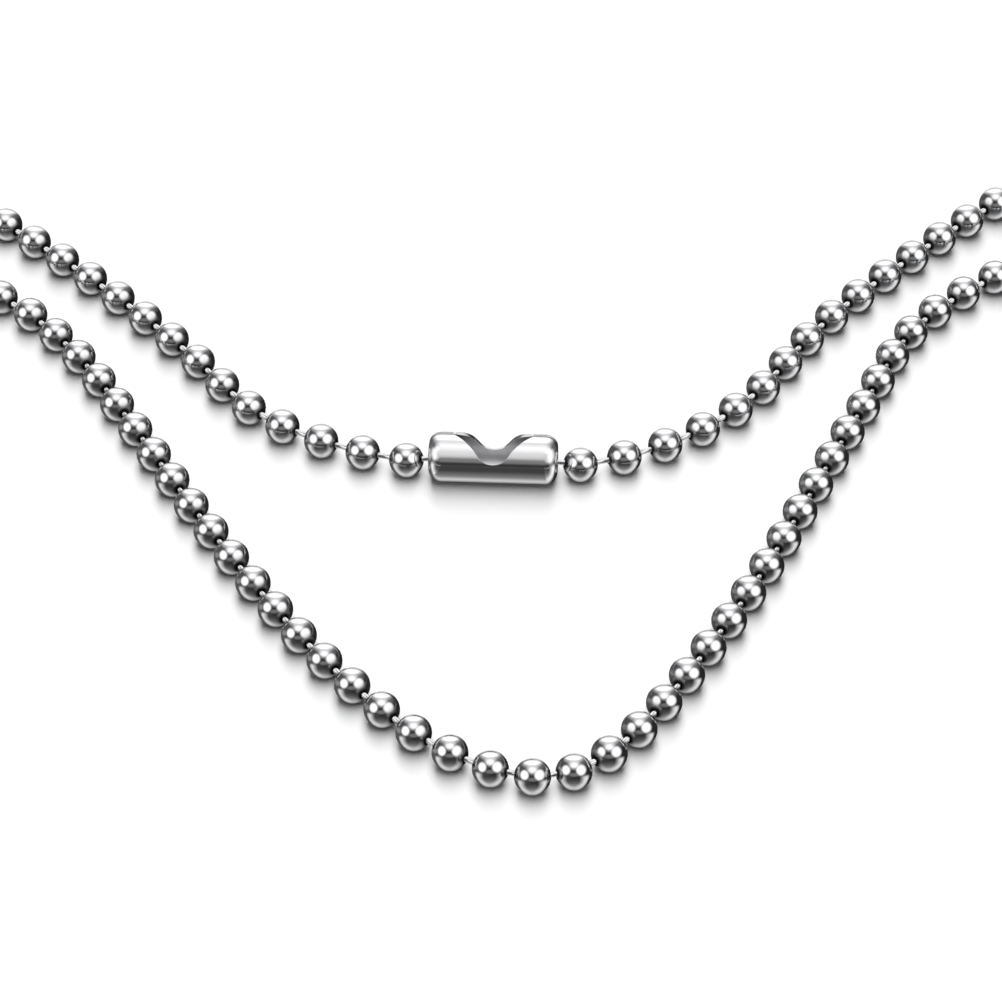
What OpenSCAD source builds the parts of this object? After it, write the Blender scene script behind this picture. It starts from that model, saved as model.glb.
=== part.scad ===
// Ball chain necklace with a barrel clasp, lying closed on a flat surface.
// Hollow balls are strung on short links that have a round head on each end.
// Millimetres, with +Z up and the front of the chain towards -Y.

/* [Balls] */
// Diameter of a ball
ball_d = 3.2; // [2.8:0.1:4]
// Thickness of a ball's sheet metal
ball_wall = 0.25; // [0.2:0.01:0.3]
// Number of balls, with the two that the clasp holds
ball_count = 108; // [90:1:120]
// Space between two balls where the chain is pulled straight
taut_gap = 1; // [0.9:0.05:1.3]
// How much closer two balls lie where the chain is bunched up most
front_slack = 0.55; // [0:0.05:0.6]

/* [Links] */
// Diameter of a link's wire
wire_d = 0.5; // [0.4:0.02:0.6]
// Space all round the wire in a ball's hole
wire_clearance = 0.175; // [0.12:0.005:0.2]
// How far a link's head reaches past the hole's edge, which keeps it in the ball
head_overlap = 0.075; // [0.05:0.005:0.1]
// Space between a head and the hole's inner edge where the chain is straight
head_clearance = 0.11; // [0.08:0.01:0.15]

/* [Clasp] */
// Length of the barrel
clasp_l = 11.9; // [11:0.1:14]
// Thickness of the barrel's sheet metal
clasp_wall = 0.3; // [0.25:0.01:0.4]
// Space all round a ball inside the barrel
ball_play = 0.4; // [0.2:0.05:0.6]
// Space between a held ball and the end of the barrel
end_clearance = 0.15; // [0.1:0.01:0.3]
// Radius that rounds the barrel's ends
end_round = 1.15; // [0.8:0.05:1.4]
// How far the barrel is turned back about its own length, in degrees
clasp_roll = 22; // [0:1:30]

/* [Clasp mouth] */
// Height of the mouth's lowest point above the barrel's axis
mouth_floor = 0.1; // [0:0.05:0.3]
// Radius of the mouth's bottom
mouth_round = 1.7; // [1.4:0.05:1.9]
// Radius of the lips that lead from the mouth's sides to the barrel's top
lip_round = 3.1; // [2.6:0.05:3.3]
// Slope of the mouth's sides, in degrees
mouth_slope = 53; // [48:1:54]
// Width of the slot that lets the wire slide from the mouth to each end
slot_w = 0.75; // [0.7:0.05:0.9]
// Diameter of the hole in each end
end_hole_d = 1.15; // [1.1:0.05:1.3]
// How far the end holes lie below the barrel's axis
end_hole_drop = 0.25; // [0.2:0.05:0.3]

/* [Hidden] */
$fn = 48;

// Plan of the chain's centre line, from the middle of the clasp round by the left
route = [
    [-0.7, 5.3], [-9, 5.7], [-17, 8.5], [-23.5, 13], [-30, 21.5], [-38.5, 31], [-48.5, 40.5],
    [-59.5, 49.5], [-69, 55], [-75.5, 53], [-75.5, 46], [-68, 40], [-57, 34.5], [-47, 28.5],
    [-40, 20.5], [-34, 10], [-28.3, -0.5], [-22.2, -11], [-15.5, -21], [-7.5, -30],
    [-1, -34.3], [3, -35.3], [7, -34.3], [12, -29.5], [18.5, -19], [24, -8.5], [29, 2.5],
    [34, 13.5], [39, 24], [46.5, 31.5], [56.5, 37], [66.5, 41], [75, 46.5], [76.5, 53.5],
    [71, 57.5], [60.5, 53], [49.5, 44.5], [39.5, 35], [30.5, 25], [23.5, 14.5], [16.5, 8.5],
    [8, 5.1]
];
// Steps from one point of the plan to the next
route_steps = 16;
// Share of the front slack, by how far a gap lies from the chain's middle to the clasp
bunching = [[0, 1], [0.02, 0.75], [0.04, 0.35], [0.75, 0.35], [0.87, 0], [1, 0]];
// How far a cut runs past the metal that it opens
past = 1;

ball_r = ball_d / 2;
ball_inner_r = ball_r - ball_wall;
hole_r = wire_d / 2 + wire_clearance;
head_r = hole_r + head_overlap;
taut_pitch = ball_d + taut_gap;
// Distance from a ball's centre to its hole's inner edge, and to a head's centre when taut
hole_edge = sqrt(pow(ball_inner_r, 2) - pow(hole_r, 2));
head_seat = hole_edge - sqrt(pow(head_r + head_clearance, 2) - pow(hole_r, 2));
head_spacing = taut_pitch - 2 * head_seat;

clasp_r = ball_r + ball_play + clasp_wall;
held_ball_x = clasp_l / 2 - clasp_wall - end_clearance - ball_r;
// A held ball's centre lies on the barrel's axis, higher than the balls on the surface
held_ball_lift = clasp_r - ball_r;

last_ball = ball_count - 1;

// A smooth curve from b to c, past a before it and d after it
function between(a, b, c, d, t) =
    (2 * b + (c - a) * t + (2 * a - 5 * b + 4 * c - d) * pow(t, 2)
        + (3 * b - a - 3 * c + d) * pow(t, 3)) / 2;
function route_point(i) = route[(i + len(route)) % len(route)];
curve = [
    for (i = [0 : len(route) - 1])
        for (k = [0 : route_steps - 1])
            between(route_point(i - 1), route_point(i), route_point(i + 1), route_point(i + 2),
                k / route_steps),
    route[0]
];
last_step = len(curve) - 1;
step_l = [for (i = [0 : last_step - 1]) norm(curve[i + 1] - curve[i])];
// Distance along the curve to each of its points
reach = [
    for (i = 0, s = 0; i <= last_step; s = s + (i < last_step ? step_l[i] : 0), i = i + 1) s
];
curve_l = reach[last_step];
x_by_reach = [for (i = [0 : last_step]) [reach[i], curve[i].x]];
y_by_reach = [for (i = [0 : last_step]) [reach[i], curve[i].y]];

// Distance between balls i and i + 1, and the same seen from above
function from_middle(i) = abs(2 * (i + 0.5) / last_ball - 1);
function pitch(i) = taut_pitch - front_slack * lookup(from_middle(i), bunching);
function plan_pitch(i) =
    (i == 0 || i == last_ball - 1) ? sqrt(pow(pitch(i), 2) - pow(held_ball_lift, 2)) : pitch(i);
// Distance along the chain from the middle of the clasp to each ball
stations = [
    for (i = 0, s = held_ball_x; i < ball_count; s = s + plan_pitch(i), i = i + 1) s
];
loop_l = stations[last_ball] + held_ball_x;
// The plan takes the size that closes the chain's own length
route_scale = loop_l / curve_l;
function plan_place(s) = route_scale
    * [lookup(s / route_scale, x_by_reach), lookup(s / route_scale, y_by_reach)];
plan_places = [for (s = stations) plan_place(s)];
plan_x = [for (p = plan_places) p.x];
plan_y = [for (p = plan_places) p.y];
plan_middle = [(min(plan_x) + max(plan_x)) / 2, (min(plan_y) + max(plan_y)) / 2];
function is_held(i) = i == 0 || i == last_ball;
centres = [
    for (i = [0 : last_ball])
        [
            plan_places[i].x - plan_middle.x,
            plan_places[i].y - plan_middle.y,
            is_held(i) ? clasp_r : ball_r
        ]
];
function centre(i) = centres[(i + ball_count) % ball_count];

clasp_middle = (centres[0] + centres[last_ball]) / 2;
clasp_run = centres[last_ball] - centres[0];
clasp_turn = atan2(clasp_run.y, clasp_run.x);

// The mouth's side view: where its round bottom ends and its lips begin and end
bottom_end = [
    mouth_round * sin(mouth_slope),
    mouth_floor + mouth_round * (1 - cos(mouth_slope))
];
lip_start_z = clasp_r - lip_round * (1 - cos(mouth_slope));
lip_start_x = bottom_end.x + (lip_start_z - bottom_end.y) / tan(mouth_slope);
lip_centre = [lip_start_x + lip_round * sin(mouth_slope), clasp_r - lip_round];
arc_steps = 12;

// Turns its children's +Z towards a direction
module aim(direction) {
    turn = atan2(direction.y, direction.x);
    tilt = acos(direction.z / norm(direction));
    rotate([0, tilt, turn]) children();
}

// A hollow ball with a hole towards each neighbour, and its seam to the side of both
module ball(before, here, after) {
    sideways = atan2(after.y - before.y, after.x - before.x) + 90;
    translate(here) difference() {
        rotate([0, 0, sideways]) sphere(r = ball_r);
        rotate([0, 0, sideways]) sphere(r = ball_inner_r);
        for (neighbour = [before, after])
            aim(neighbour - here) cylinder(r = hole_r, h = ball_d);
    }
}

// A wire with a round head on each end, midway between two balls
module link(start, end) {
    translate((start + end) / 2) aim(end - start) {
        cylinder(d = wire_d, h = head_spacing, center = true);
        for (side = [-1, 1])
            translate([0, 0, side * head_spacing / 2]) sphere(r = head_r);
    }
}

// A barrel along X whose ends are rounded
module barrel(radius, length, rounding) {
    profile = [
        [0, -length / 2],
        for (k = [0 : arc_steps])
            [
                radius - rounding + rounding * sin(90 * k / arc_steps),
                -length / 2 + rounding - rounding * cos(90 * k / arc_steps)
            ],
        for (k = [0 : arc_steps])
            [
                radius - rounding + rounding * cos(90 * k / arc_steps),
                length / 2 - rounding + rounding * sin(90 * k / arc_steps)
            ],
        [0, length / 2]
    ];
    rotate([0, 90, 0]) rotate_extrude() polygon(profile);
}

// The mouth's outline in side view, with rounded bottom and lips
module mouth_outline() {
    right_side = [
        for (k = [0 : arc_steps])
            [
                mouth_round * sin(mouth_slope * k / arc_steps),
                mouth_floor + mouth_round * (1 - cos(mouth_slope * k / arc_steps))
            ],
        for (k = [0 : arc_steps])
            lip_centre + lip_round * [
                -sin(mouth_slope * (1 - k / arc_steps)),
                cos(mouth_slope * (1 - k / arc_steps))
            ],
        [lip_centre.x, clasp_r + past]
    ];
    left_side = [for (k = [len(right_side) - 1 : -1 : 1]) [-right_side[k].x, right_side[k].y]];
    polygon(concat(right_side, left_side));
}

module balls() {
    color("silver")
        for (i = [0 : last_ball])
            ball(centre(i - 1), centre(i), centre(i + 1));
}

module links() {
    color("lightgray")
        for (i = [0 : last_ball - 1])
            link(centre(i), centre(i + 1));
}

module clasp() {
    color("gainsboro")
        translate(clasp_middle) rotate([0, 0, clasp_turn]) rotate([-clasp_roll, 0, 0])
            difference() {
                barrel(clasp_r, clasp_l, end_round);
                barrel(clasp_r - clasp_wall, clasp_l - 2 * clasp_wall, end_round - clasp_wall);
                rotate([90, 0, 0])
                    linear_extrude(height = 2 * (clasp_r + past), center = true)
                        mouth_outline();
                translate([-clasp_l / 2 - past, -slot_w / 2, -end_hole_drop])
                    cube([clasp_l + 2 * past, slot_w, clasp_r + end_hole_drop + past]);
                translate([0, 0, -end_hole_drop]) rotate([0, 90, 0])
                    cylinder(d = end_hole_d, h = clasp_l + 2 * past, center = true);
            }
}

balls();
links();
clasp();
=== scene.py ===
"""A ball chain necklace that lies closed on a pale surface.

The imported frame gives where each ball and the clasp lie. Geometry Nodes string the polished hollow
balls and the wire links along those places, and the barrel clasp is a bent sheet of its own.
Lengths are in metres.
"""
from functools import partial
from math import acos, asin, cos, pi, radians, sin, sqrt, tan

import bmesh
import bpy
import numpy as np
from mathutils import Matrix, Vector


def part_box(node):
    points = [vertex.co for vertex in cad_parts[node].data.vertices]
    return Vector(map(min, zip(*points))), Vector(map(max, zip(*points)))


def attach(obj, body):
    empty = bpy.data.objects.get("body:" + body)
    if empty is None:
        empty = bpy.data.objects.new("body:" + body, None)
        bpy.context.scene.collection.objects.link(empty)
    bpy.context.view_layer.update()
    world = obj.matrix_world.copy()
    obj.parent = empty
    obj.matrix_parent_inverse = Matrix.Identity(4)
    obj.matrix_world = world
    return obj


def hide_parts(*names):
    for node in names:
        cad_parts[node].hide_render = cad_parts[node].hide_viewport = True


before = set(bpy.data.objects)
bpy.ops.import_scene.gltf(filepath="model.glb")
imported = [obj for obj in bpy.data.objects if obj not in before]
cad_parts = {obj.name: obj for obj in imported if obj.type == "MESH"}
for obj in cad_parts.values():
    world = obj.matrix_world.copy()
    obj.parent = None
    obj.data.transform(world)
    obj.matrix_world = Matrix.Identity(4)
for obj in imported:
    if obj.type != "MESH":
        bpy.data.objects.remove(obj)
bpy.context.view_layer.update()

MM = 0.001
UP = Vector((0, 0, 1))

# Camera and picture
PICTURE_PX = 1002
FOCAL_PX = 4600
SENSOR_MM = 36
CAMERA_ELEVATION = radians(42)
CAMERA_DISTANCE = 420 * MM
NEAREST_SEEN = 10 * MM
LOOK_AT = Vector((-0.198, -10.999, 1.6)) * MM
TOWARD_CAMERA = Vector((0, -cos(CAMERA_ELEVATION), sin(CAMERA_ELEVATION)))
UP_PICTURE = Vector((0, sin(CAMERA_ELEVATION), cos(CAMERA_ELEVATION)))

# Balls
BALL_WALL = 0.25 * MM
HOLE_R = 0.425 * MM
# Angle from a hole's axis at which the sphere ends and the straight neck to the lip begins
NECK_START = radians(22)
LIP_BEVEL = 0.04 * MM
# Share of the neck at the lip that has a ring of its own
LIP_SHARE = 0.12
# Width of the painted shade round a hole
HOLE_SHADE_W = 0.8 * MM
BALL_SIDES = 30
BALL_RINGS = 13
HOLLOW_RINGS = 4
# Shares of the radius between which a ball's ends turn to its neighbours
BALL_BEND = (0.15, 0.8)

# Links
WIRE_R = 0.25 * MM
HEAD_R = 0.5 * MM
WIRE_SIDES = 14
HEAD_RINGS = 6
# A link is straight, so it would bend only past its ends, in shares of its length
LINK_BEND = (0.5, 1.0)

# Clasp
CLASP_L = 11.9 * MM
CLASP_R = 2.3 * MM
CLASP_WALL = 0.3 * MM
CLASP_ROLL = radians(22)
END_ROUND = 1.15 * MM
MOUTH_FLOOR = 0.1 * MM
MOUTH_ROUND = 1.7 * MM
LIP_ROUND = 3.1 * MM
MOUTH_SLOPE = radians(53)
SLOT_W = 0.75 * MM
END_HOLE_R = 0.575 * MM
END_HOLE_DROP = 0.25 * MM
# How far a slot runs up a flat end from its hole, and the share of the points on each side of it
END_SLOT_L = 0.5 * MM
END_SLOT_SHARE = 0.12
RIM_BEVEL = 0.07 * MM
RIM_STEPS = 3
# Edges sharper than this are cut edges of the sheet
RIM_ANGLE = radians(60)
CLASP_SIDES = 72
BARREL_STEPS = 84
END_STEPS = 10
DISC_STEPS = 4


# Nodes, in trees of shaders and of geometry alike

def feed(node, values):
    """Links a node's inputs to sockets or sets them to values, by their names or numbers."""
    for label, value in dict(values).items():
        if isinstance(value, bpy.types.NodeSocket):
            node.id_data.links.new(value, node.inputs[label])
        else:
            node.inputs[label].default_value = value


def add_node(tree, kind, values=(), **settings):
    """Adds a node with its settings to a tree and feeds its inputs."""
    node = tree.nodes.new(kind)
    for key, value in settings.items():
        setattr(node, key, value)
    feed(node, values)
    return node


def number_node(tree, operation, *values):
    """The answer of a Math node."""
    return add_node(tree, "ShaderNodeMath", enumerate(values), operation=operation).outputs[0]


def vector_node(tree, operation, *values):
    """The answer of a Vector Math node, a number or a vector."""
    node = add_node(tree, "ShaderNodeVectorMath", enumerate(values), operation=operation)
    return node.outputs["Value" if operation in ("DOT_PRODUCT", "LENGTH") else "Vector"]


def eased_node(tree, value, start, end, low=0, high=1):
    """A number that goes smoothly from low to high while a value goes from start to end."""
    limits = {"From Min": start, "From Max": end, "To Min": low, "To Max": high}
    return add_node(tree, "ShaderNodeMapRange", {"Value": value, **limits},
                    interpolation_type="SMOOTHSTEP").outputs["Result"]


def ramp_node(tree, value, stops):
    """The colour of a ramp through its (place, colour) stops at a value."""
    node = add_node(tree, "ShaderNodeValToRGB", {"Fac": value})
    made = node.color_ramp.elements
    while len(made) < len(stops):
        made.new(0.5)
    for stop, (place, colour) in zip(made, stops):
        stop.position = place
        stop.color = (*colour, 1)
    return node.outputs["Color"]


def geometry_tree(name, inputs):
    """An empty Geometry Nodes tree with its named inputs."""
    tree = bpy.data.node_groups.new(name, "GeometryNodeTree")
    for label, kind in (("Geometry", "Geometry"), *inputs):
        tree.interface.new_socket(label, in_out="INPUT", socket_type="NodeSocket" + kind)
    tree.interface.new_socket("Geometry", in_out="OUTPUT", socket_type="NodeSocketGeometry")
    return tree


# Objects and meshes

def new_object(name, data):
    """A mesh, light or camera as an object in the scene."""
    obj = bpy.data.objects.new(name, data)
    bpy.context.scene.collection.objects.link(obj)
    return obj


def finished_mesh(name, shape):
    """The mesh of a shape that is built, which is then let go."""
    mesh = bpy.data.meshes.new(name)
    shape.to_mesh(mesh)
    shape.free()
    return mesh


def evaluated_mesh(obj):
    """The plain mesh that an object's modifiers make."""
    graph = bpy.context.evaluated_depsgraph_get()
    return bpy.data.meshes.new_from_object(obj.evaluated_get(graph))


def run_tree(obj, tree, values):
    """The plain mesh that a Geometry Nodes tree makes of an object, with its inputs' values."""
    modifier = obj.modifiers.new("nodes", "NODES")
    modifier.node_group = tree
    for socket in tree.interface.items_tree:
        if socket.in_out == "INPUT" and socket.name in values:
            modifier[socket.identifier] = values[socket.name]
    mesh = evaluated_mesh(obj)
    obj.modifiers.remove(modifier)
    return mesh


# Reading the frame

# Corners of the CAD mesh's loose triangles that lie closer than this are one point
MERGE_DISTANCE = 0.001 * MM


def solid_numbering():
    """A tree that merges a CAD mesh's loose triangles and numbers its separate solids."""
    tree = geometry_tree("solid_numbering", [("Merge Distance", "Float")])
    add = partial(add_node, tree)
    inputs = add("NodeGroupInput").outputs
    merged = add("GeometryNodeMergeByDistance",
                 {"Geometry": inputs["Geometry"], "Distance": inputs["Merge Distance"]})
    island = add("GeometryNodeInputMeshIsland").outputs["Island Index"]
    stored = add("GeometryNodeStoreNamedAttribute",
                 {"Geometry": merged.outputs["Geometry"], "Name": "solid", "Value": island},
                 data_type="INT", domain="POINT")
    add("NodeGroupOutput", {"Geometry": stored.outputs["Geometry"]})
    return tree


def solids_of(node):
    """The points of each separate solid in a CAD node."""
    mesh = run_tree(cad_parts[node], solid_numbering(), {"Merge Distance": MERGE_DISTANCE})
    points = np.empty(len(mesh.vertices) * 3)
    mesh.vertices.foreach_get("co", points)
    numbers = np.empty(len(mesh.vertices), dtype=int)
    mesh.attributes["solid"].data.foreach_get("value", numbers)
    bpy.data.meshes.remove(mesh)
    points = points.reshape(-1, 3)
    return [points[numbers == number] for number in np.unique(numbers)]


def ball_fit(points):
    """Centre and radius of the sphere that the outermost of a hollow ball's points lie on."""
    middle = (points.min(axis=0) + points.max(axis=0)) / 2
    offsets = points - middle
    reach = np.linalg.norm(offsets, axis=1)
    skin = offsets[reach > reach.max() - BALL_WALL / 2]
    rows = np.column_stack([2 * skin, np.ones(len(skin))])
    answer = np.linalg.lstsq(rows, (skin ** 2).sum(axis=1), rcond=None)[0]
    centre = answer[:3]
    return middle + centre, sqrt(answer[3] + centre @ centre)


def in_string_order(centres, start):
    """Ball centres in the order of the chain, from the one nearest the start."""
    order = [int(np.linalg.norm(centres - start, axis=1).argmin())]
    left = set(range(len(centres))) - set(order)
    while left:
        here = centres[order[-1]]
        nearest = min(left, key=lambda i: np.linalg.norm(centres[i] - here))
        order.append(nearest)
        left.remove(nearest)
    return centres[order]


clasp_low, clasp_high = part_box("clasp")
clasp_middle = (clasp_low + clasp_high) / 2

fits = [ball_fit(points) for points in solids_of("balls")]
BALL_R = float(np.median([radius for _, radius in fits]))
# From one ball in the clasp round to the other
centres = in_string_order(np.array([centre for centre, _ in fits]), np.array(clasp_middle))
spans = np.roll(centres, -1, axis=0) - centres
toward_next = spans / np.linalg.norm(spans, axis=1)[:, None]
toward_last = -np.roll(toward_next, 1, axis=0)
# A link's length over its heads, from the box round one, whichever way it lies
link_solid = solids_of("links")[0]
link_low, link_high = link_solid.min(axis=0), link_solid.max(axis=0)
LINK_L = float(np.linalg.norm(link_high - link_low - 2 * HEAD_R)) + 2 * HEAD_R

# The clasp's axis runs through the two balls that it holds
held_left, held_right = sorted((centres[0], centres[-1]), key=lambda centre: centre[0])
held_middle = (held_left + held_right) / 2
clasp_run = Vector(held_right - held_left).normalized()


# Balls and links

def turned_mesh(name, profile, sides, closed, skin_rings=None, hole_shade=None):
    """The mesh of a profile of (radius, height) points turned round Z, shaded smooth.

    A closed profile joins its last point to its first. Faces past the first skin_rings rings are
    marked as inside. The painted shade round the holes is given for each ring.
    """
    shape = bmesh.new()
    rings = []
    for radius, height in profile:
        if radius == 0:
            rings.append([shape.verts.new((0, 0, height))] * sides)
            continue
        turns = [2 * pi * k / sides for k in range(sides)]
        rings.append([shape.verts.new((radius * cos(t), radius * sin(t), height)) for t in turns])
    for ring, following in zip(rings, rings[1:] + rings[:1] if closed else rings[1:]):
        for k in range(sides):
            after = (k + 1) % sides
            corners = [ring[k], ring[after], following[after], following[k]]
            shape.faces.new(list(dict.fromkeys(corners))).smooth = True
    bmesh.ops.recalc_face_normals(shape, faces=shape.faces)
    mesh = finished_mesh(name, shape)
    inside = mesh.attributes.new("inside", "BOOLEAN", "FACE")
    if skin_rings:
        skin_faces = skin_rings * sides
        inside.data.foreach_set("value", [k >= skin_faces for k in range(len(mesh.polygons))])
    if hole_shade:
        shade = mesh.attributes.new("hole_shade", "FLOAT", "POINT")
        shade.data.foreach_set("value", [level for level in hole_shade for _ in range(sides)])
    return mesh


def arc(radius, start, end, steps):
    """Points (radius * sin, radius * cos) from one polar angle to another."""
    angles = [start + (end - start) * k / steps for k in range(steps + 1)]
    return [(radius * sin(a), radius * cos(a)) for a in angles]


def mirrored(profile):
    """The lower half of a profile, from its upper half and in the same round."""
    return [(r, -z) for r, z in reversed(profile)]


def ball_skin(radius, rings, neck_shares):
    """Side view of one skin of the ball: a sphere that runs out straight to a lip at each hole.

    Neck shares run from 0 at the lip to 1 where the neck leaves the sphere.
    """
    lip_r = HOLE_R + LIP_BEVEL
    start = (radius * sin(NECK_START), radius * cos(NECK_START))
    lip = (lip_r, start[1] + (start[0] - lip_r) * tan(NECK_START))
    neck = [
        (lip[0] + (start[0] - lip[0]) * share, lip[1] + (start[1] - lip[1]) * share)
        for share in neck_shares
    ]
    return neck + arc(radius, NECK_START, pi - NECK_START, rings) + mirrored(neck)


def ball_profile():
    """Side view of the ball's sheet with rounded lips, and how many of its rings are outside."""
    outside = ball_skin(BALL_R, BALL_RINGS, (0, LIP_SHARE))
    inside = ball_skin(BALL_R - BALL_WALL, HOLLOW_RINGS, (0,))
    outer_z, inner_z = outside[0][1], inside[0][1]
    bore = [(HOLE_R, -outer_z + LIP_BEVEL / 2), (HOLE_R, -inner_z - LIP_BEVEL / 2)]
    return outside + bore + inside[::-1] + mirrored(bore), len(outside) - 1


def link_profile():
    """Side view of a link: a wire with a round head on each end."""
    seat = LINK_L / 2 - HEAD_R
    neck = pi - asin(WIRE_R / HEAD_R)
    head = [(r, seat + z) for r, z in arc(HEAD_R, 0, neck, HEAD_RINGS)]
    head[0] = (0, seat + HEAD_R)
    return head + mirrored(head)


def stringing():
    """A tree that sets a copy of a shape on each point and bends its two ends to its neighbours."""
    tree = geometry_tree("stringing", [
        ("Shape", "Object"), ("Radius", "Float"), ("Bend From", "Float"), ("Bend To", "Float"),
        ("Skin", "Material"), ("Hollow", "Material"),
    ])
    add, number, vector = (
        partial(make, tree) for make in (add_node, number_node, vector_node)
    )
    inputs = add("NodeGroupInput").outputs

    def named(name, kind="FLOAT_VECTOR"):
        return add("GeometryNodeInputNamedAttribute", {"Name": name}, data_type=kind).outputs[0]

    def position():
        return add("GeometryNodeInputPosition").outputs[0]

    run = vector("NORMALIZE", vector("SUBTRACT", named("toward_next"), named("toward_last")))
    placed = add("GeometryNodeStoreNamedAttribute",
                 {"Geometry": inputs["Geometry"], "Name": "centre", "Value": position()},
                 data_type="FLOAT_VECTOR", domain="POINT")
    shape = add("GeometryNodeObjectInfo", {"Object": inputs["Shape"], "As Instance": True})
    turn = add("FunctionNodeAlignRotationToVector", {"Vector": run}, axis="Z")
    copies = add("GeometryNodeInstanceOnPoints",
                 {"Points": placed.outputs["Geometry"], "Instance": shape.outputs["Geometry"],
                  "Rotation": turn.outputs["Rotation"]})
    real = add("GeometryNodeRealizeInstances", {"Geometry": copies.outputs["Instances"]})

    offset = vector("SUBTRACT", position(), named("centre"))
    along = number("DIVIDE", vector("DOT_PRODUCT", offset, run), inputs["Radius"])
    ahead = number("GREATER_THAN", along, 0)
    target = add("GeometryNodeSwitch",
                 {"Switch": ahead, "False": named("toward_last"), "True": named("toward_next")},
                 input_type="VECTOR").outputs[0]
    sign = number("SUBTRACT", number("MULTIPLY", ahead, 2), 1)
    pole = add("ShaderNodeVectorMath", {"Vector": run, "Scale": sign}, operation="SCALE")
    axis = vector("CROSS_PRODUCT", pole.outputs["Vector"], target)
    share = eased_node(tree, number("ABSOLUTE", along), inputs["Bend From"], inputs["Bend To"])
    angle = number("MULTIPLY", number("ARCSINE", vector("LENGTH", axis)), share)
    bent = add("ShaderNodeVectorRotate", {"Vector": offset, "Axis": axis, "Angle": angle},
               rotation_type="AXIS_ANGLE").outputs[0]
    moved = add("GeometryNodeSetPosition",
                {"Geometry": real.outputs["Geometry"],
                 "Position": vector("ADD", bent, named("centre"))})
    skinned = add("GeometryNodeSetMaterial",
                  {"Geometry": moved.outputs["Geometry"], "Material": inputs["Skin"]})
    finished = add("GeometryNodeSetMaterial",
                   {"Geometry": skinned.outputs["Geometry"],
                    "Selection": named("inside", "BOOLEAN"), "Material": inputs["Hollow"]})
    add("NodeGroupOutput", {"Geometry": finished.outputs["Geometry"]})
    return tree


def strung(name, places, before, after, shape_mesh, radius, bend, skin, hollow):
    """A string of one shape at each place, turned to the directions before and after it.

    Its ends turn the more, the further along the shape they lie between the bend's two shares of
    the radius. Faces marked as inside take the hollow's finish.
    """
    points = bpy.data.meshes.new(name + "_places")
    points.from_pydata([tuple(place) for place in places], [], [])
    for label, values in (("toward_last", before), ("toward_next", after)):
        attribute = points.attributes.new(label, "FLOAT_VECTOR", "POINT")
        attribute.data.foreach_set("vector", np.asarray(values, dtype=np.float32).ravel())
    guide = new_object(name + "_guide", points)
    shape = new_object(name + "_shape", shape_mesh)
    mesh = run_tree(guide, stringing(), {
        "Shape": shape, "Radius": radius, "Bend From": bend[0], "Bend To": bend[1],
        "Skin": skin, "Hollow": hollow,
    })
    for label in ("toward_last", "toward_next", "centre", "inside"):
        if label in mesh.attributes:
            mesh.attributes.remove(mesh.attributes[label])
    for helper in (guide, shape):
        bpy.data.objects.remove(helper)
    mesh.name = name
    return new_object(name, mesh)


# The clasp

def mouth_height(x):
    """Height of the mouth's edge above the barrel's axis in side view, at x from its middle."""
    x = abs(x)
    bottom_x = MOUTH_ROUND * sin(MOUTH_SLOPE)
    bottom_z = MOUTH_FLOOR + MOUTH_ROUND * (1 - cos(MOUTH_SLOPE))
    lip_z = CLASP_R - LIP_ROUND * (1 - cos(MOUTH_SLOPE))
    lip_x = bottom_x + (lip_z - bottom_z) / tan(MOUTH_SLOPE)
    lip_centre_x = lip_x + LIP_ROUND * sin(MOUTH_SLOPE)
    if x < bottom_x:
        return MOUTH_FLOOR + MOUTH_ROUND - sqrt(MOUTH_ROUND ** 2 - x ** 2)
    if x < lip_x:
        return bottom_z + (x - bottom_x) * tan(MOUTH_SLOPE)
    if x < lip_centre_x:
        return CLASP_R - LIP_ROUND + sqrt(LIP_ROUND ** 2 - (lip_centre_x - x) ** 2)
    return CLASP_R


def edge_angle(x, radius):
    """Angle above the horizontal at which the sheet stops, beside the mouth or the slot."""
    slot_edge = acos(min(1, SLOT_W / 2 / radius))
    mouth_edge = asin(min(1, mouth_height(x) / radius))
    return min(slot_edge, mouth_edge)


def barrel_section(x, radius):
    """One section of the barrel's skin, from the mouth's front edge round below to its back."""
    start = edge_angle(x, radius)
    angles = [start - (2 * start + pi) * k / CLASP_SIDES for k in range(CLASP_SIDES + 1)]
    return [Vector((x, -radius * cos(a), radius * sin(a))) for a in angles]


def end_hole_edge(x):
    """The slot down a flat end and the hole that it leads to, from front round below to back."""
    join = asin(SLOT_W / 2 / END_HOLE_R)
    slot_foot = END_HOLE_R * cos(join) - END_HOLE_DROP
    points = []
    for k in range(CLASP_SIDES + 1):
        share = k / CLASP_SIDES
        if END_SLOT_SHARE <= share <= 1 - END_SLOT_SHARE:
            round_share = (share - END_SLOT_SHARE) / (1 - 2 * END_SLOT_SHARE)
            turn = pi / 2 - join - round_share * (2 * pi - 2 * join)
            y, z = -END_HOLE_R * cos(turn), END_HOLE_R * sin(turn) - END_HOLE_DROP
        else:
            y = -SLOT_W / 2 if share < 0.5 else SLOT_W / 2
            z = slot_foot + (1 - min(share, 1 - share) / END_SLOT_SHARE) * END_SLOT_L
        points.append(Vector((x, y, z)))
    return points


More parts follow.
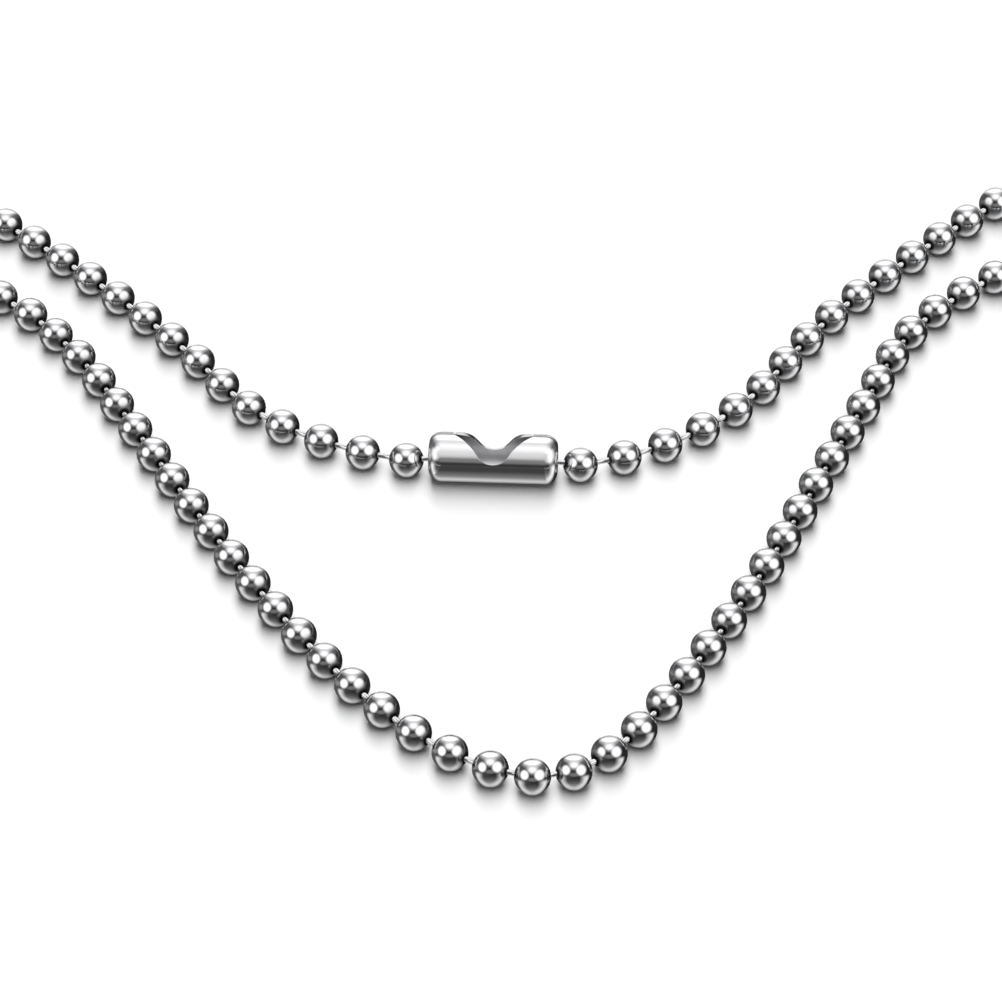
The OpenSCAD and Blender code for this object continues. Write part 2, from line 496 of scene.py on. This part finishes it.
def clasp_mesh():
    """The clasp's outer skin, open at the mouth, the slots and the end holes."""
    half = CLASP_L / 2
    straight = half - END_ROUND
    flat_r = CLASP_R - END_ROUND
    outer, inner = barrel_section(-half, flat_r), end_hole_edge(-half)
    rows = [
        [hole.lerp(rim, k / DISC_STEPS) for rim, hole in zip(outer, inner)]
        for k in range(DISC_STEPS)
    ]
    for k in range(END_STEPS):
        turn = pi / 2 * k / END_STEPS
        x, radius = -half + END_ROUND * (1 - cos(turn)), flat_r + END_ROUND * sin(turn)
        rows.append(barrel_section(x, radius))
    for k in range(BARREL_STEPS // 2 + 1):
        rows.append(barrel_section(-straight + straight * 2 * k / BARREL_STEPS, CLASP_R))
    rows += [[Vector((-p.x, p.y, p.z)) for p in row] for row in reversed(rows[:-1])]
    shape = bmesh.new()
    grid = [[shape.verts.new(p) for p in row] for row in rows]
    for row, following in zip(grid, grid[1:]):
        for k in range(CLASP_SIDES):
            face = shape.faces.new((row[k], following[k], following[k + 1], row[k + 1]))
            face.smooth = True
    bmesh.ops.recalc_face_normals(shape, faces=shape.faces)
    return finished_mesh("clasp_sheet", shape)


def make_clasp(outside, inside):
    """The clasp in its place: a skin given its sheet's thickness and rounded cut edges."""
    sheet = new_object("clasp_sheet", clasp_mesh())
    sheet.data.materials.append(outside)
    sheet.data.materials.append(inside)
    wall = sheet.modifiers.new("wall", "SOLIDIFY")
    wall.thickness = CLASP_WALL
    wall.offset = -1
    wall.material_offset = 1
    wall.material_offset_rim = 0
    edge = sheet.modifiers.new("edge", "BEVEL")
    edge.width = RIM_BEVEL
    edge.segments = RIM_STEPS
    edge.limit_method = "ANGLE"
    edge.angle_limit = RIM_ANGLE
    mesh = evaluated_mesh(sheet)
    bpy.data.objects.remove(sheet)
    place = Matrix.Translation((clasp_middle.x, clasp_middle.y, held_middle[2]))
    side = UP.cross(clasp_run).normalized()
    turned = Matrix((clasp_run, side, UP)).transposed().to_4x4()
    mesh.transform(place @ turned @ Matrix.Rotation(-CLASP_ROLL, 4, "X"))
    mesh.name = "clasp_barrel"
    return new_object("clasp_barrel", mesh)


# Materials

# Noise levels between which a steel's roughness changes
GRAIN_SPAN = (0.35, 0.65)
GRAIN_DETAIL = 3
# How much of the steel's own colour is left under the painted shade round a hole, from 0 on the
# waist to 1 at the hole
HOLE_SHADE = ((0.0, 1.0), (0.4, 0.7), (0.7, 0.35), (0.88, 0.05))
# Roughness that the painted shade round a hole adds
HOLE_SHADE_ROUGHNESS = 0.3
# Distance from one of the clasp's fine lines to the next, and the same in a wave of scale 1
LINE_PITCH = 0.04 * MM
WAVE_PITCH = pi / 10
# Heights between which the lines fade downwards, and the share of their depth that is left below
WORN_Z = (3.0 * MM, 3.9 * MM)
WORN_LINES = 0.05


def new_material(name):
    """A material, its tree and its shader."""
    material = bpy.data.materials.new(name)
    material.use_nodes = True
    tree = material.node_tree
    return material, tree, tree.nodes["Principled BSDF"]


def steel(name, colour, roughness, smudge, grain_scale, grain_depth, hole_shaded=False, drawn=0):
    """Polished steel with faint tumbling marks, and a roughness that varies by the smudge.

    A hole-shaded one darkens where the piece's hole_shade attribute says so, in a painted shade
    round the holes. A drawn one has fine lines across its length, of the given depth, which are worn
    away low on its sides.
    """
    material, tree, shader = new_material(name)
    place = add_node(tree, "ShaderNodeTexCoord").outputs["Object"]
    grain = add_node(tree, "ShaderNodeTexNoise", {
        "Vector": place, "Scale": grain_scale, "Detail": GRAIN_DETAIL,
    }).outputs["Fac"]
    polish = add_node(tree, "ShaderNodeMapRange", {
        "Value": grain, "From Min": GRAIN_SPAN[0], "From Max": GRAIN_SPAN[1],
        "To Min": roughness, "To Max": roughness + smudge,
    }).outputs["Result"]
    relief = add_node(tree, "ShaderNodeBump", {
        "Strength": 1, "Distance": grain_depth, "Height": grain,
    }).outputs["Normal"]
    if drawn:
        lines = add_node(tree, "ShaderNodeTexWave", {
            "Vector": place, "Scale": WAVE_PITCH / LINE_PITCH,
        }, bands_direction="X").outputs["Fac"]
        height = add_node(tree, "ShaderNodeSeparateXYZ", {"Vector": place}).outputs["Z"]
        depth = eased_node(tree, height, *WORN_Z, WORN_LINES, 1)
        relief = add_node(tree, "ShaderNodeBump", {
            "Strength": 1, "Distance": drawn, "Normal": relief,
            "Height": number_node(tree, "MULTIPLY", lines, depth),
        }).outputs["Normal"]
    feed(shader, {
        "Base Color": (*colour, 1), "Metallic": 1, "Roughness": polish, "Normal": relief,
    })
    if hole_shaded:
        # Painted shade round the holes: the steel darkens and grows rougher towards each hole
        shade_amount = add_node(tree, "ShaderNodeAttribute", attribute_name="hole_shade").outputs["Fac"]
        shades = [(share, [left * c for c in colour]) for share, left in HOLE_SHADE]
        feed(shader, {
            "Base Color": ramp_node(tree, shade_amount, shades),
            "Roughness": number_node(tree, "MULTIPLY_ADD", shade_amount, HOLE_SHADE_ROUGHNESS, polish),
        })
    return material


def matte(name, level, roughness):
    """A plain finish with no gloss."""
    material, _, shader = new_material(name)
    feed(shader, {
        "Base Color": (level, level, level, 1), "Roughness": roughness, "Specular IOR Level": 0,
    })
    return material


def bright(name, level):
    """A finish that shines by itself at one level."""
    material, _, shader = new_material(name)
    feed(shader, {
        "Base Color": (0, 0, 0, 1), "Emission Color": (level, level, level, 1),
        "Emission Strength": 1,
    })
    return material


# Studio

FLOOR_R = 3.0
FLOOR_LEVEL = 0.9
FLOOR_ROUGHNESS = 0.6
BACKDROP_H = 2.5
BACKDROP_LEVEL = 0.95
ROUND_SIDES = 96
LIGHT_DISTANCE = 1.6
SOFTBOXES = (
    # name, azimuth, elevation, width and height in degrees, radiance
    ("light_above", 0, 74, 30, 100, 5.3),
    ("light_front", 180, 30, 100, 30, 0.45),
)

# What the polished metal mirrors, by where it shows on a ball that the camera faces. Places and
# half sizes are shares of the ball's radius, across and up the picture.
LAMPS = (
    # across, up, half width, half height, level, softness
    (-0.02, 0.76, 0.50, 0.15, 1.78, 0.45),
    (-0.02, 0.82, 0.60, 0.36, 0.80, 0.35),
    (0.00, 0.56, 0.33, 0.36, 1.05, 0.50),
    (0.00, 0.40, 0.26, 0.19, 1.60, 0.50),
    (-0.44, 0.11, 0.21, 0.25, 1.78, 0.35),
    (0.37, 0.12, 0.26, 0.28, 1.78, 0.35),
    (0.06, 0.55, 0.60, 0.40, 0.24, 0.50),
    (0.00, -0.13, 0.30, 0.11, 0.26, 0.60),
    (-0.80, 0.10, 0.14, 0.16, 0.38, 0.70),
)
# The walls, and where the left one's level goes over into the right one's
WALL_LEFT = 0.13
WALL_RIGHT = 0.03
WALL_CHANGE = (-0.9, 0.3)
# The table, which is brighter to the sides, and the places where its far and outer edges fade
TABLE_LEVEL = 0.82
TABLE_SIDE_GAIN = 0.68
TABLE_HALF_W = 0.82
TABLE_HALF_H = 1.0
TABLE_FAR_EDGE = (-0.32, -0.1)
TABLE_OUTER_EDGE = (0.88, 1.06)
# The dark front of the table, in a notch that narrows downwards: its levels by the distance below
# the ball's middle, and the shares of the notch between which it goes over into the table
FRONT_LEVELS = ((0.35, 0.045), (0.5, 0.12), (0.6, 0.2), (0.72, 0.38), (0.84, 0.72))
NOTCH_MIDDLE = -0.03
NOTCH_HALF_W = 0.49
NOTCH_TOP = -0.3
NOTCH_DEPTH = 0.54
NOTCH_ROUND = 2.8
NOTCH_EDGE = (0.6, 1.4)

# A glowing card that lies before the clasp and turns up at its far edge, a painted reflection. Only
# the metal mirrors it: pale near the clasp and dark further out, it darkens the clasp's lower side
# and hides the chain in front from it.
REFLECTION_CARD_LEFT, REFLECTION_CARD_RIGHT = -6.6 * MM, 5.2 * MM
REFLECTION_CARD_PROFILE = (
    # distance before the clasp's axis and height in millimetres, level of the painted reflection
    (2.2, 0.02, 0.70),
    (2.6, 0.02, 0.54),
    (3.1, 0.02, 0.29),
    (3.9, 0.02, 0.185),
    (5.0, 0.02, 0.125),
    (7.0, 0.02, 0.048),
    (10.5, 0.02, 0.03),
    (20.0, 0.02, 0.03),
    (23.0, 0.8, 0.03),
    (24.0, 3.4, 0.03),
)


def hide_from(obj, *rays):
    """Keeps an object from being seen by these kinds of rays."""
    for kind in rays:
        setattr(obj, "visible_" + kind, False)


def set_facing(obj, out, distance):
    """Sets a light or the camera at a distance out from the point looked at, facing it."""
    obj.location = LOOK_AT + distance * out
    obj.rotation_euler = out.to_track_quat("Z", "Y").to_euler()


def softbox(name, azimuth, elevation, width, height, radiance):
    """A soft light on the floor, at an azimuth from behind the chain, clockwise seen from above."""
    a, e = radians(azimuth), radians(elevation)
    data = bpy.data.lights.new(name, "AREA")
    data.shape = "RECTANGLE"
    data.size = 2 * LIGHT_DISTANCE * tan(radians(width / 2))
    data.size_y = 2 * LIGHT_DISTANCE * tan(radians(height / 2))
    data.energy = radiance * pi * data.size * data.size_y
    light = new_object(name, data)
    set_facing(light, Vector((sin(a) * cos(e), cos(a) * cos(e), sin(e))), LIGHT_DISTANCE)
    hide_from(light, "camera", "glossy")


def unseen_by_floor(tree):
    """A socket that is 1 for the camera and the metal, and 0 for rays that the floor scattered."""
    scattered = add_node(tree, "ShaderNodeLightPath").outputs["Diffuse Depth"]
    return number_node(tree, "LESS_THAN", scattered, 1)


def room():
    """The dark room, the lamps and the pale table that the metal mirrors."""
    world = bpy.data.worlds.new("room")
    world.use_nodes = True
    tree = world.node_tree
    number, vector, eased = (
        partial(make, tree) for make in (number_node, vector_node, eased_node)
    )

    def reach(x, half_x, y, half_y):
        """Distance from an ellipse's middle, 1 on its edge."""
        shares = (number("DIVIDE", x, half_x), number("DIVIDE", y, half_y))
        return number("SQRT", number("ADD", *(number("POWER", share, 2) for share in shares)))

    direction = add_node(tree, "ShaderNodeTexCoord").outputs["Generated"]
    facing = vector("NORMALIZE", vector("ADD", direction, tuple(TOWARD_CAMERA)))
    across = vector("DOT_PRODUCT", facing, (1, 0, 0))
    up = vector("DOT_PRODUCT", facing, tuple(UP_PICTURE))

    level = eased(across, *WALL_CHANGE, WALL_LEFT, WALL_RIGHT)
    for lamp_x, lamp_y, half_w, half_h, strength, softness in LAMPS:
        edge = reach(number("SUBTRACT", across, lamp_x), half_w,
                     number("SUBTRACT", up, lamp_y), half_h)
        level = number("MAXIMUM", level, eased(edge, 1 - softness, 1 + softness, strength, 0))

    front = ramp_node(tree, number("MULTIPLY", up, -1),
                      [(below, [shade] * 3) for below, shade in FRONT_LEVELS])
    sunk = number("DIVIDE", number("MAXIMUM", number("SUBTRACT", NOTCH_TOP, up), 0), NOTCH_DEPTH)
    aside = number("ABSOLUTE", number("SUBTRACT", across, NOTCH_MIDDLE))
    notch = number("ADD", number("DIVIDE", aside, NOTCH_HALF_W),
                   number("POWER", sunk, NOTCH_ROUND))
    gain = number("MULTIPLY", number("ABSOLUTE", across), TABLE_SIDE_GAIN)
    pale = number("ADD", gain, TABLE_LEVEL)
    beside = eased(notch, *NOTCH_EDGE)
    table = number("ADD", front, number("MULTIPLY", number("SUBTRACT", pale, front), beside))
    outward = reach(across, TABLE_HALF_W, up, TABLE_HALF_H)
    for fade in (eased(up, *TABLE_FAR_EDGE, 1, 0), eased(outward, *TABLE_OUTER_EDGE, 1, 0)):
        table = number("MULTIPLY", table, fade)
    level = number("MAXIMUM", level, table)

    feed(tree.nodes["Background"], {"Color": number("MULTIPLY", level, unseen_by_floor(tree))})
    bpy.context.scene.world = world


def floor_disc():
    """The pale floor, which the metal doesn't mirror."""
    shape = bmesh.new()
    bmesh.ops.create_circle(shape, cap_ends=True, segments=ROUND_SIDES, radius=FLOOR_R)
    disc = new_object("floor", finished_mesh("floor", shape))
    disc.data.materials.append(matte("pale_floor", FLOOR_LEVEL, FLOOR_ROUGHNESS))
    hide_from(disc, "glossy")
    return disc


def backdrop_wall():
    """The pale wall all round, which only the camera sees."""
    shape = bmesh.new()
    bmesh.ops.create_cone(shape, segments=ROUND_SIDES, radius1=FLOOR_R, radius2=FLOOR_R,
                          depth=BACKDROP_H)
    bmesh.ops.translate(shape, verts=shape.verts, vec=(0, 0, BACKDROP_H / 2))
    wall = new_object("backdrop", finished_mesh("backdrop", shape))
    wall.data.materials.append(bright("pale_backdrop", BACKDROP_LEVEL))
    hide_from(wall, "diffuse", "glossy", "shadow", "transmission")
    return wall


def card():
    """The glowing card before the clasp, a painted reflection, with its level at each point of its
    profile.
    """
    ahead = clasp_run.cross(UP)
    foot = Vector((held_middle[0], held_middle[1], 0))
    shape = bmesh.new()
    rows = [
        [
            shape.verts.new(foot + ahead * distance * MM + clasp_run * side + UP * height * MM)
            for side in (REFLECTION_CARD_LEFT, REFLECTION_CARD_RIGHT)
        ]
        for distance, height, _ in REFLECTION_CARD_PROFILE
    ]
    for (left, right), (far_left, far_right) in zip(rows, rows[1:]):
        shape.faces.new((left, right, far_right, far_left))
    sheet = new_object("card", finished_mesh("card", shape))
    shade = sheet.data.attributes.new("level", "FLOAT", "POINT")
    shade.data.foreach_set("value", [level for _, _, level in REFLECTION_CARD_PROFILE for _ in range(2)])
    # It glows at its profile's levels, a painted reflection that only the metal sees
    material = bright("painted_reflection", 0)
    tree = material.node_tree
    level = add_node(tree, "ShaderNodeAttribute", attribute_name="level").outputs["Fac"]
    feed(tree.nodes["Principled BSDF"],
         {"Emission Color": level, "Emission Strength": unseen_by_floor(tree)})
    sheet.data.materials.append(material)
    hide_from(sheet, "camera", "diffuse", "shadow", "transmission")
    return sheet


def studio():
    """Floor, backdrop, the card of painted reflection, lights and the mirrored room."""
    for obj in (floor_disc(), backdrop_wall(), card()):
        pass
    for box in SOFTBOXES:
        softbox(*box)
    room()
    bpy.context.scene.view_settings.view_transform = "Standard"


def camera():
    """The camera, at the photograph's viewing angle."""
    data = bpy.data.cameras.new("camera")
    data.sensor_width = SENSOR_MM
    data.lens = FOCAL_PX * SENSOR_MM / PICTURE_PX
    data.clip_start = NEAREST_SEEN
    eye = new_object("camera", data)
    set_facing(eye, TOWARD_CAMERA, CAMERA_DISTANCE)
    bpy.context.scene.camera = eye


camera()
studio()

ball_steel = steel("ball_steel", (0.62, 0.62, 0.63), roughness=0.06, smudge=0.06,
                   grain_scale=1500, grain_depth=0.002 * MM, hole_shaded=True)
# Nearly black steel on the bores, lips and insides of the balls: a painted shade in the holes, which
# also dims the glints on the lips
ball_bore_shade = steel("ball_bore_shade", (0.05, 0.05, 0.05), roughness=0.6, smudge=0.1,
                    grain_scale=1500, grain_depth=0.004 * MM)
link_steel = steel("link_steel", (0.58, 0.58, 0.59), roughness=0.16, smudge=0.05,
                   grain_scale=3000, grain_depth=0.001 * MM)
clasp_steel = steel("clasp_steel", (0.76, 0.76, 0.77), roughness=0.04, smudge=0.03,
                    grain_scale=900, grain_depth=0.001 * MM, drawn=0.0034 * MM)
clasp_inside = steel("clasp_inside", (0.62, 0.62, 0.63), roughness=0.35, smudge=0.08,
                     grain_scale=1800, grain_depth=0.0015 * MM)

shell, skin_rings = ball_profile()
# Painted shade round each hole, from 1 at the hole's edge to 0 one width further out
hole_shade = [max(0, 1 - (radius - HOLE_R) / HOLE_SHADE_W) for radius, _ in shell]
ball_string = strung("ball_string", centres, toward_last, toward_next,
                     turned_mesh("ball_shell", shell, BALL_SIDES, True, skin_rings, hole_shade),
                     BALL_R, BALL_BEND, ball_steel, ball_bore_shade)
midpoints = (centres[1:] + centres[:-1]) / 2
runs = toward_next[:-1]
link_string = strung("link_string", midpoints, -runs, runs,
                     turned_mesh("link_wire", link_profile(), WIRE_SIDES, False),
                     LINK_L, LINK_BEND, link_steel, link_steel)
clasp_barrel = make_clasp(clasp_steel, clasp_inside)

for piece, node, finish in (
    (ball_string, "balls", "ball_steel"),
    (link_string, "links", "link_steel"),
    (clasp_barrel, "clasp", "clasp_steel"),
):
    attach(piece, "root")
    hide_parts(node)
